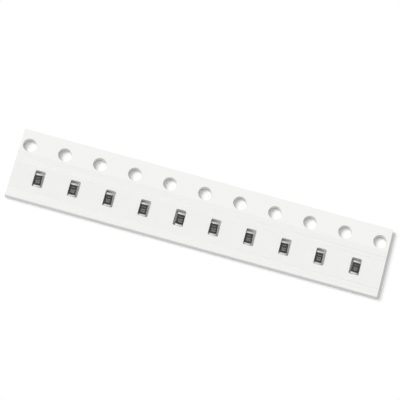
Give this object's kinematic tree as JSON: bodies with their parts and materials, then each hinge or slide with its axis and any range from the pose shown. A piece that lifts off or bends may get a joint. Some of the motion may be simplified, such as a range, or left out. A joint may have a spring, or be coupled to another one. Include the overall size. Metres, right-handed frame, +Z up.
{
  "type": "smd carrier tape strip",
  "caption": "Flat cut strip of white punched paper carrier tape with a row of round sprocket holes along one edge and chip resistors in pockets under a clear cover film.",
  "frame": {"origin": "under the middle of the strip, on the surface it lies on: midway along, midway across, at the bottom film's lower face", "axes": "+X along the strip, +Y across it towards the sprocket holes, +Z up out of the clear cover film"},
  "size_m": [0.0422, 0.008, 0.0009],
  "materials": {
    "carrier_paper": "matte",
    "clear_film": "gloss",
    "bottom_film": "satin",
    "alumina": "matte",
    "resistive_film": "matte",
    "glass_overcoat": "satin",
    "tin_plate": "satin"
  },
  "bodies": {
    "root": {"carrier_tape": "carrier_paper", "bottom_cover_tape": "bottom_film", "top_cover_tape": "clear_film", "resistor_1_substrate": "alumina", "resistor_1_element": "resistive_film", "resistor_1_overcoat": "glass_overcoat", "resistor_1_terminal_a": "tin_plate", "resistor_1_terminal_b": "tin_plate", "resistor_2_substrate": "alumina", "resistor_2_element": "resistive_film", "resistor_2_overcoat": "glass_overcoat", "resistor_2_terminal_a": "tin_plate", "resistor_2_terminal_b": "tin_plate", "resistor_3_substrate": "alumina", "resistor_3_element": "resistive_film", "resistor_3_overcoat": "glass_overcoat", "resistor_3_terminal_a": "tin_plate", "resistor_3_terminal_b": "tin_plate", "resistor_4_substrate": "alumina", "resistor_4_element": "resistive_film", "resistor_4_overcoat": "glass_overcoat", "resistor_4_terminal_a": "tin_plate", "resistor_4_terminal_b": "tin_plate", "resistor_5_substrate": "alumina", "resistor_5_element": "resistive_film", "resistor_5_overcoat": "glass_overcoat", "resistor_5_terminal_a": "tin_plate", "resistor_5_terminal_b": "tin_plate", "resistor_6_substrate": "alumina", "resistor_6_element": "resistive_film", "resistor_6_overcoat": "glass_overcoat", "resistor_6_terminal_a": "tin_plate", "resistor_6_terminal_b": "tin_plate", "resistor_7_substrate": "alumina", "resistor_7_element": "resistive_film", "resistor_7_overcoat": "glass_overcoat", "resistor_7_terminal_a": "tin_plate", "resistor_7_terminal_b": "tin_plate", "resistor_8_substrate": "alumina", "resistor_8_element": "resistive_film", "resistor_8_overcoat": "glass_overcoat", "resistor_8_terminal_a": "tin_plate", "resistor_8_terminal_b": "tin_plate", "resistor_9_substrate": "alumina", "resistor_9_element": "resistive_film", "resistor_9_overcoat": "glass_overcoat", "resistor_9_terminal_a": "tin_plate", "resistor_9_terminal_b": "tin_plate", "resistor_10_substrate": "alumina", "resistor_10_element": "resistive_film", "resistor_10_overcoat": "glass_overcoat", "resistor_10_terminal_a": "tin_plate", "resistor_10_terminal_b": "tin_plate"}
  },
  "joints": []
}
